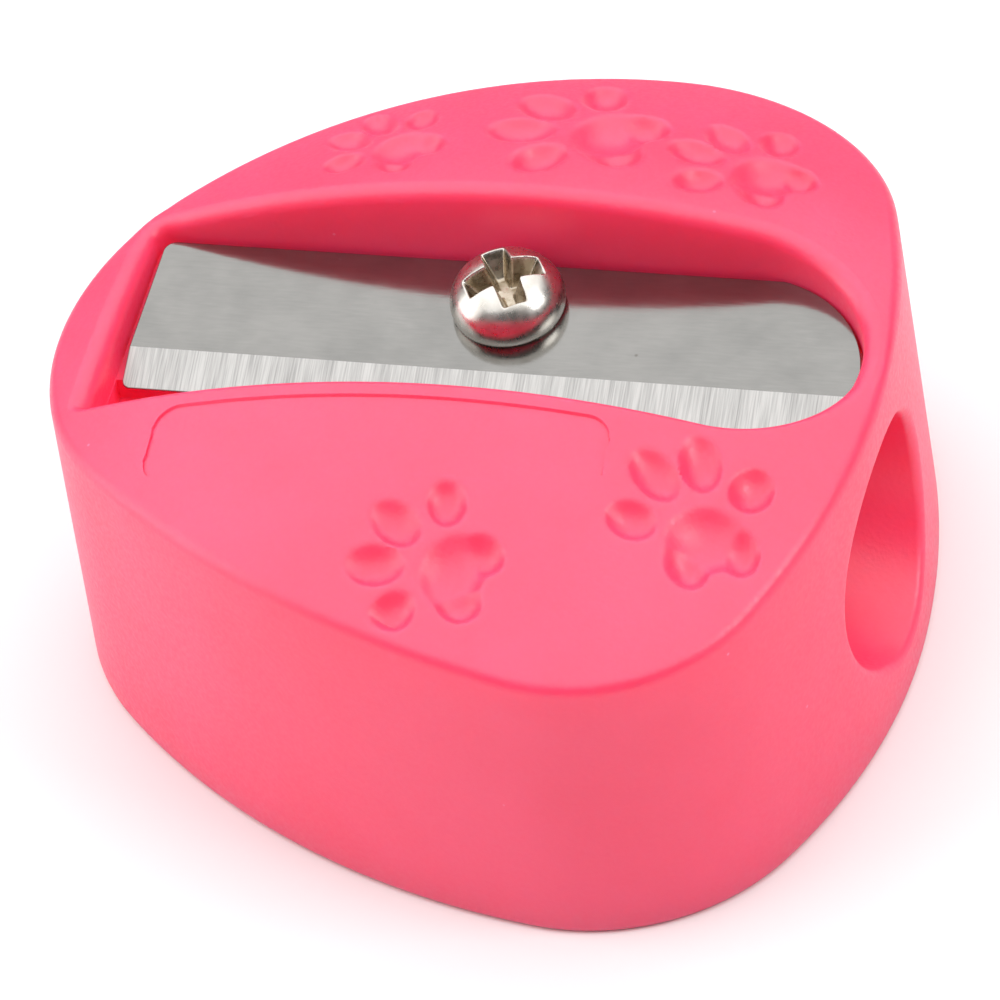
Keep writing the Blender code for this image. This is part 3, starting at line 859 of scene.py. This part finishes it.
    def mouth_rings(self, angles: np.ndarray, steps: int) -> list[np.ndarray]:
        """Rings of the rounding between the nose wall and the bore.

        A ball of the rounding's radius rolls round the mouth, touching the wall and the bore.

        Args:
            angles: directions about the bore's axis.
            steps: how many steps the rounding takes.

        Returns:
            Rings from outside the wall to the bore's own surface.
        """
        start, inward, side, up = self.bore_axes()
        radial = np.outer(np.cos(angles), side) + np.outer(np.sin(angles), up)

        def from_axis(points: np.ndarray) -> tuple[np.ndarray, np.ndarray]:
            nose = np.where(points[:, 1] > 0, self.outline.back.nose_radius, self.outline.front.nose_radius)
            return nose, np.column_stack((points[:, 0] - self.nose_x + nose, points[:, 1]))

        def over_wall(points: np.ndarray) -> np.ndarray:
            nose, away = from_axis(points)
            reach = np.linalg.norm(away, axis=1) - nose + points[:, 2] * math.tan(self.draft)
            return reach * math.cos(self.draft)

        ball = self.mouth_round
        low, high = np.full(len(angles), -4.0), np.full(len(angles), 6.0)
        for _ in range(BISECTIONS):
            middle = (low + high) / 2
            centre = start + inward * middle[:, None] + radial * (self.bore_radius + ball)
            outside = over_wall(centre) + ball > 0
            low = np.where(outside, middle, low)
            high = np.where(outside, high, middle)
        centre = start + inward * low[:, None] + radial * (self.bore_radius + ball)
        wall_way = from_axis(centre)[1]
        wall_way /= np.linalg.norm(wall_way, axis=1)[:, None]
        wall = np.column_stack((wall_way * math.cos(self.draft), np.full(len(angles), math.sin(self.draft))))
        swing = np.arccos(np.clip(-(wall * radial).sum(1), -1, 1))
        proud = 0.004
        rings = [centre + wall * (ball + 1.0) + radial * 0.6]
        for step in range(steps + 1):
            share = 1 - step / steps
            weight_wall = np.sin(swing * share) / np.sin(swing)
            weight_bore = np.sin(swing * (1 - share)) / np.sin(swing)
            turn = wall * weight_wall[:, None] - radial * weight_bore[:, None]
            rings.append(centre + turn * ball + wall * proud * share)
        return rings

    def bore_cutter(self) -> bpy.types.Object:
        """Rounded mouth, round entry and long cone, about the bore's sloping axis."""
        count = 144
        angles = 2 * math.pi * np.arange(count) / count
        start, inward, side, up = self.bore_axes()
        radial = np.outer(np.cos(angles), side) + np.outer(np.sin(angles), up)
        rings = self.mouth_rings(angles, 7)
        entry = self.entry_length / math.cos(self.bore_angle)
        cone = (self.bore_radius - self.cone_tip_radius) / math.tan(self.bore_angle)
        for share in (0.0, 0.2, 0.4, 0.6, 0.8, 1.0):
            radius = self.bore_radius + (self.cone_tip_radius - self.bore_radius) * share
            rings.append(start + inward * (entry + cone * share) + radial * radius)
        outer_end = start - inward * 3.0
        inner_end = start + inward * (entry + cone + self.cone_tip_radius / 2)
        return skin("bore_cutter", rings, outer_end, inner_end)

    def slot_cutter(self) -> bpy.types.Object:
        """The shavings gap between the cutting edge and the lip, down to the bore's axis."""
        a = self.anchors
        left = self.pocket.left + self.slot_to_wall
        right = self.pocket.nose_centre.x
        slope = math.tan(self.bore_angle)
        start, _inward, _side, _up = self.bore_axes()
        cone_axis = start[2] + self.entry_length * slope
        tip_x = start[0] - self.entry_length - (a.edge_z - cone_axis) / slope
        tip_floor = a.edge_z - self.cone_tip_radius - self.blade_gap
        top = a.edge_z + 0.5
        profile = [
            (left, tip_floor),
            (tip_x + (a.edge_z - tip_floor) / slope, tip_floor),
            (right, a.edge_z - (right - tip_x) * slope),
            (right, top),
            (left, top),
        ]
        near, far = self.pocket.front + self.slot_ledge, a.edge_y + self.slot_under_blade
        points = np.array([(x, y, z) for y in (near, far) for x, z in profile])
        count = len(profile)
        faces: list[Sequence[int]] = [list(range(count)), list(reversed(range(count, 2 * count)))]
        faces += [(i, i + count, (i + 1) % count + count, (i + 1) % count) for i in range(count)]
        return add_mesh("slot_cutter", points, faces)

    def pilot_cutter(self) -> bpy.types.Object:
        """The hole in the seat that the screw bites into, square to the blade."""
        a = self.anchors
        y = a.edge_y + self.screw_from_edge * math.cos(self.tilt)
        count = 64
        angles = 2 * math.pi * np.arange(count) / count
        circle = np.column_stack((np.cos(angles), np.sin(angles))) * self.pilot_radius
        rings = [np.column_stack((circle, np.full(count, z))) for z in (-self.pilot_depth, 0.4)]
        made = skin(
            "pilot_cutter", rings, np.array((0, 0, -self.pilot_depth - 0.7)), np.array((0, 0, 0.4))
        )
        made.location = Vector((a.screw_x, y, self.seat_height(y))) * MM
        made.rotation_euler.x = self.tilt
        return made

    def panel_cutter(self) -> bpy.types.Object:
        """The blank panel in front of the pocket, its floor following the crown."""
        left = self.pocket.left + self.panel_from_pocket_end
        back = self.pocket.front - self.panel_from_lip
        right, radius = left + self.panel_length, self.panel_corner
        turns = np.radians(np.linspace(0, 90, 15))
        near = radius * (1 - np.cos(turns))
        middle = np.linspace(left + radius, right - radius, self.panel_columns)[1:-1]
        columns = np.concatenate((left + near, middle, (right - near)[::-1]))
        rings = []
        for x in columns:
            into_corner = max(0.0, radius - min(x - left, right - x))
            trim = radius - math.sqrt(radius**2 - into_corner**2)
            y = np.linspace(back - self.panel_width + trim, back - trim, self.panel_rows)
            floor = self.crown.height(np.full_like(y, x), y) - self.panel_depth
            rim_y = np.array((y[-1] + self.panel_slant, y[0] - self.panel_slant))
            rim_z = self.crown.height(np.full(2, x), rim_y) + 0.01
            top = np.full(2, self.crown.top + 1)
            ring_y = np.concatenate((y, rim_y[:1], rim_y, rim_y[1:]))
            ring_z = np.concatenate((floor, rim_z[:1], top, rim_z[1:]))
            rings.append(np.column_stack((np.full_like(ring_y, x), ring_y, ring_z)))
        rings[0][self.panel_rows :, 0] -= self.panel_slant
        rings[-1][self.panel_rows :, 0] += self.panel_slant
        ends = [ring.mean(0) for ring in (rings[0], rings[-1])]
        return skin("panel_cutter", rings, ends[0], ends[1])

    def build(self) -> bpy.types.Object:
        """Builds, cuts and dresses the body."""
        body = self.shell()
        carve(body, [self.panel_cutter(), self.slot_cutter(), self.bore_cutter(), self.pilot_cutter()])
        body.name = "moulded_body"
        body.data.materials.clear()
        body.data.materials.append(self.finish.material())
        shade(body, 32)
        settle(body, "body")
        return body


@dataclass
class Blade:
    """The steel blade: a flat strip with one ground bevel, square at the tip end."""

    anchors: Anchors
    pocket: Pocket
    seat: Matrix
    rolled: BladeSteel = field(default_factory=BladeSteel)
    ground: GroundSteel = field(default_factory=GroundSteel)
    width: float = 5.99
    thickness: float = 0.5
    bevel_width: float = 1.37
    edge_land: float = 0.06
    side_gap: float = 0.12
    back_corner: float = 0.42
    front_corner: float = 0.25
    hole_radius: float = 1.3
    screw_from_edge: float = 4.17
    edge_soft: float = 0.025

    def outline(self) -> list[tuple[float, float]]:
        """The blade from above, about the screw's axis."""
        screw_x = self.anchors.screw_x
        left = self.anchors.blade_left - screw_x
        front = -self.screw_from_edge
        back = front + self.width
        radius = self.pocket.radius - self.side_gap
        centre = (self.pocket.right - self.side_gap - radius - screw_x, back - radius + self.side_gap)
        start = math.asin((front - centre[1]) / radius)
        end = math.asin((back - centre[1]) / radius)
        points = []
        for step in range(49):
            angle = start + (end - start) * step / 48
            points.append((centre[0] + radius * math.cos(angle), centre[1] + radius * math.sin(angle)))
        for x, y, size, begin in (
            (left + self.back_corner, back - self.back_corner, self.back_corner, 90),
            (left + self.front_corner, front + self.front_corner, self.front_corner, 180),
        ):
            for step in range(9):
                angle = math.radians(begin + 90 * step / 8)
                points.append((x + size * math.cos(angle), y + size * math.sin(angle)))
        return points

    def build(self) -> bpy.types.Object:
        """Builds and dresses the blade."""
        outline = self.outline()
        work = bmesh.new()
        floor = work.faces.new([work.verts.new((x, y, 0.0)) for x, y in reversed(outline)])
        raised = bmesh.ops.extrude_face_region(work, geom=[floor])["geom"]
        lifted = [part for part in raised if isinstance(part, bmesh.types.BMVert)]
        bmesh.ops.translate(work, verts=lifted, vec=(0, 0, self.thickness))
        bmesh.ops.recalc_face_normals(work, faces=work.faces)
        rise = self.thickness - self.edge_land
        bmesh.ops.bisect_plane(
            work,
            geom=[*work.verts, *work.edges, *work.faces],
            plane_co=(0, -self.screw_from_edge, self.thickness - rise),
            plane_no=(0, -rise, self.bevel_width),
            clear_outer=True,
        )
        bmesh.ops.holes_fill(work, edges=[edge for edge in work.edges if edge.is_boundary])
        bmesh.ops.recalc_face_normals(work, faces=work.faces)
        bmesh.ops.scale(work, vec=(MM, MM, MM), verts=work.verts)
        mesh = bpy.data.meshes.new("steel_blade")
        work.to_mesh(mesh)
        work.free()
        blade = bpy.data.objects.new("steel_blade", mesh)
        bpy.context.scene.collection.objects.link(blade)
        carve(blade, [self.hole_cutter()])
        softened = blade.modifiers.new("edge_soft", "BEVEL")
        softened.width = self.edge_soft * MM
        softened.segments = 2
        softened.limit_method = "ANGLE"
        softened.angle_limit = math.radians(40)
        graph = bpy.context.evaluated_depsgraph_get()
        finished = bpy.data.meshes.new_from_object(blade.evaluated_get(graph))
        blade.modifiers.clear()
        blade.data = finished
        blade.matrix_world = self.seat
        finished.materials.clear()
        finished.materials.append(self.rolled.material())
        finished.materials.append(self.ground.material())
        for face in finished.polygons:
            face.material_index = int(-0.6 < face.normal.y < -0.2 and face.normal.z > 0.8)
        shade(blade, 14)
        settle(blade, "blade")
        return blade

    def hole_cutter(self) -> bpy.types.Object:
        """The screw hole."""
        count = 72
        angles = 2 * math.pi * np.arange(count) / count
        circle = np.column_stack((np.cos(angles), np.sin(angles))) * self.hole_radius
        heights = (-0.5, self.thickness + 0.5)
        rings = [np.column_stack((circle, np.full(count, z))) for z in heights]
        ends = [np.array((0.0, 0.0, z)) for z in heights]
        return skin("blade_hole_cutter", rings, ends[0], ends[1])


@dataclass
class BladeScrew:
    """The blade screw: a domed head with a cross recess on a coarse threaded shank."""

    anchors: Anchors
    seat: Matrix
    blade_thickness: float
    plating: NickelPlate = field(default_factory=NickelPlate)
    recess_plating: RecessNickel = field(default_factory=RecessNickel)
    head_radius: float = 1.86
    underside_radius: float = 1.74
    equator: float = 0.40
    dome: float = 1.3
    recess_reach: float = 1.27
    recess_half_width: float = 0.46
    recess_depth: float = 1.1
    recess_turn: float = math.radians(30)
    shank_radius: float = 1.2
    thread_depth: float = 0.28
    thread_pitch: float = 0.95
    shank_length: float = 5.4
    point_length: float = 0.9
    around: int = 240

    def dome_height(self, radius: np.ndarray) -> np.ndarray:
        """Height of the plain dome at a distance from the axis."""
        share = np.clip(radius / self.head_radius, 0, 1)
        return self.equator + self.dome * (1 - share**2.15) ** 0.52

    def recess(self, x: np.ndarray, y: np.ndarray) -> np.ndarray:
        """Depth of the cross recess: four tapered wings that meet over a flat floor."""
        turn = self.recess_turn
        u = x * math.cos(turn) + y * math.sin(turn)
        v = y * math.cos(turn) - x * math.sin(turn)
        wings = []
        for along, across in ((np.abs(u), np.abs(v)), (np.abs(v), np.abs(u))):
            flank = (self.recess_half_width - across - 0.04 * along) * 4.0
            end = (self.recess_reach - along) * 1.9
            wings.append(-np.logaddexp(-9 * flank, -9 * end) / 9)
        wing = np.logaddexp(9 * wings[0], 9 * wings[1]) / 9
        level = -np.logaddexp(-12 * wing, -12 * np.full_like(wing, self.recess_depth)) / 12
        return soft_floor(level, 0.02)

    def head_rings(self, angles: np.ndarray) -> list[np.ndarray]:
        """Rings of the head, from near the axis on top, over the rim, to the underside."""
        cosine, sine = np.cos(angles), np.sin(angles)
        rings = []
        radii = [0.022 * step for step in range(1, 69)]
        radii += [self.head_radius * math.sin(math.radians(t)) for t in range(56, 90, 2)]
        for radius in radii:
            x, y = radius * cosine, radius * sine
            top = self.dome_height(np.full_like(x, radius)) - self.recess(x, y)
            rings.append(np.column_stack((x, y, top)))
        for step in range(0, 9):
            turn = math.pi / 2 * step / 8
            radius = self.underside_radius + (self.head_radius - self.underside_radius) * math.cos(turn)
            height = self.equator * (1 - math.sin(turn))
            rings.append(np.column_stack((radius * cosine, radius * sine, np.full_like(cosine, height))))
        return rings

    def shank_rings(self, angles: np.ndarray) -> list[np.ndarray]:
        """Rings of the shank, from under the head to the point, with one helical ridge."""
        rings = []
        rows = 110
        for row in range(rows + 1):
            depth = self.shank_length * row / rows
            phase = (depth / self.thread_pitch + angles / (2 * math.pi)) % 1
            ridge = soft_step(1 - np.abs(phase - 0.5) * 4)
            narrowing = min(1.0, max(0.15, (self.shank_length - depth) / self.point_length))
            radius = (self.shank_radius - self.thread_depth * (1 - ridge)) * narrowing
            ring = np.column_stack((radius * np.cos(angles), radius * np.sin(angles)))
            rings.append(np.column_stack((ring, np.full(len(angles), -depth))))
        return rings

    def build(self) -> bpy.types.Object:
        """Builds and dresses the screw."""
        angles = 2 * math.pi * np.arange(self.around) / self.around
        top = np.array((0.0, 0.0, self.dome_height(np.zeros(1))[0] - self.recess_depth))
        tip = np.array((0.0, 0.0, -self.shank_length - 0.1))
        rings = [*self.head_rings(angles), *self.shank_rings(angles)]
        screw = skin("cross_head_screw", rings[::-1], tip, top)
        screw.matrix_world = self.seat @ Matrix.Translation((0, 0, self.blade_thickness * MM))
        screw.data.materials.append(self.plating.material())
        screw.data.materials.append(self.recess_plating.material())
        for face in screw.data.polygons:
            x, y, z = (value / MM for value in face.center)
            sunk = self.dome_height(np.array([math.hypot(x, y)]))[0] - z
            inside = math.hypot(x, y) < self.recess_reach + 0.1
            face.material_index = int(inside and z > 0 and sunk > 0.1)
        shade(screw, 50)
        settle(screw, "blade_screw")
        return screw


class Softbox(Enum):
    """Studio lamps: direction to the lamp in degrees, distance, size and brightness."""

    OVERHEAD = (200.0, 78.0, 330.0, 760.0, 1.75)
    LEFT = (-75.0, 20.0, 300.0, 240.0, 2.6)
    RIGHT = (85.0, 38.0, 300.0, 130.0, 5.6)

    @property
    def azimuth(self) -> float:
        """Direction round the object, from the front."""
        return self.value[0]

    @property
    def elevation(self) -> float:
        """Height over the horizon."""
        return self.value[1]

    @property
    def distance(self) -> float:
        """Distance from the object."""
        return self.value[2]

    @property
    def size(self) -> float:
        """Side of the square lamp."""
        return self.value[3]

    @property
    def brightness(self) -> float:
        """Radiance of the lamp's face."""
        return self.value[4]


@dataclass
class Studio:
    """White floor, soft lamps, even surroundings and the camera."""

    anchors: Anchors
    floor_finish: PaleFloor = field(default_factory=PaleFloor)
    floor_size: float = 3000.0
    surroundings: float = 0.15
    camera_azimuth: float = 20.064
    camera_elevation: float = 43.543
    camera_roll: float = 9.676
    camera_distance: float = 160.0
    aim_from_middle: tuple[float, float, float] = (-0.065, 1.085, -3.234)
    lens_mm: float = 176.13
    sensor_mm: float = 36.0

    @property
    def middle(self) -> Vector:
        """Middle of the body's box."""
        return (self.anchors.body_low + self.anchors.body_high) / 2

    @staticmethod
    def away(azimuth: float, elevation: float) -> Vector:
        """Unit direction from the object, from an azimuth and an elevation in degrees."""
        a, e = math.radians(azimuth), math.radians(elevation)
        return Vector((math.sin(a) * math.cos(e), -math.cos(a) * math.cos(e), math.sin(e)))

    def lay_floor(self) -> None:
        """Lays the floor under the base."""
        half = self.floor_size / 2
        z = self.anchors.body_low.z - 0.01
        square = ((-half, -half), (half, -half), (half, half), (-half, half))
        corners = np.array([(x, y, z) for x, y in square])
        floor = add_mesh("studio_floor", corners, [(0, 1, 2, 3)])
        floor.data.materials.append(self.floor_finish.material())

    def hang_lamps(self) -> None:
        """Hangs each softbox, facing the object."""
        for box in Softbox:
            lamp = bpy.data.lights.new(f"lamp_{box.name.lower()}", "AREA")
            lamp.shape = "SQUARE"
            lamp.size = box.size * MM
            lamp.energy = box.brightness * math.pi * lamp.size**2
            holder = bpy.data.objects.new(lamp.name, lamp)
            bpy.context.scene.collection.objects.link(holder)
            way = self.away(box.azimuth, box.elevation)
            holder.location = (self.middle + way * box.distance) * MM
            holder.rotation_mode = "QUATERNION"
            holder.rotation_quaternion = way.to_track_quat("Z", "Y")
            holder.visible_camera = False

    def light_surroundings(self) -> None:
        """Surrounds the object with even white light."""
        world = bpy.data.worlds.new("white_surroundings")
        world.use_nodes = True
        background = world.node_tree.nodes["Background"]
        background.inputs["Color"].default_value = (1.0, 1.0, 1.0, 1.0)
        background.inputs["Strength"].default_value = self.surroundings
        bpy.context.scene.world = world

    def set_camera(self) -> None:
        """Sets the camera, turned a little about its own line of sight."""
        way = self.away(self.camera_azimuth, self.camera_elevation)
        azimuth, roll = math.radians(self.camera_azimuth), math.radians(self.camera_roll)
        right = Vector((math.cos(azimuth), math.sin(azimuth), 0))
        up = way.cross(right)
        across = right * math.cos(roll) - up * math.sin(roll)
        upright = right * math.sin(roll) + up * math.cos(roll)
        place = (self.middle + Vector(self.aim_from_middle) + way * self.camera_distance) * MM
        lens = bpy.data.cameras.new("camera")
        lens.lens = self.lens_mm
        lens.sensor_width = self.sensor_mm
        lens.clip_start = 0.01
        lens.clip_end = 10.0
        camera = bpy.data.objects.new("camera", lens)
        bpy.context.scene.collection.objects.link(camera)
        turn = Matrix((across, upright, way)).transposed()
        camera.matrix_world = Matrix.Translation(place) @ turn.to_4x4()
        bpy.context.scene.camera = camera

    def build(self) -> None:
        """Builds the whole studio."""
        self.lay_floor()
        self.hang_lamps()
        self.light_surroundings()
        self.set_camera()
        bpy.context.scene.view_settings.view_transform = "Standard"
        log.info("studio: floor, %d lamps and camera", len(Softbox))


def seat_matrix(body: MouldedBody) -> Matrix:
    """Places the seat's own axes in the frame: on the seat under the screw, tilted as the blade is."""
    a = body.anchors
    y = a.edge_y + body.screw_from_edge * math.cos(body.tilt)
    place = Vector((a.screw_x, y, body.seat_height(y))) * MM
    return Matrix.Translation(place) @ Matrix.Rotation(body.tilt, 4, "X")


def main() -> None:
    """Builds the pieces and the studio in order."""
    logging.basicConfig(level=logging.INFO, format="%(message)s")
    anchors = Anchors.from_frame(tilt=math.radians(4.0), edge_lift=0.05)
    body = MouldedBody(anchors)
    body.build()
    seat = seat_matrix(body)
    blade = Blade(anchors, body.pocket, seat)
    blade.build()
    BladeScrew(anchors, seat, blade.thickness).build()
    Studio(anchors).build()


if __name__ == "__main__":
    main()
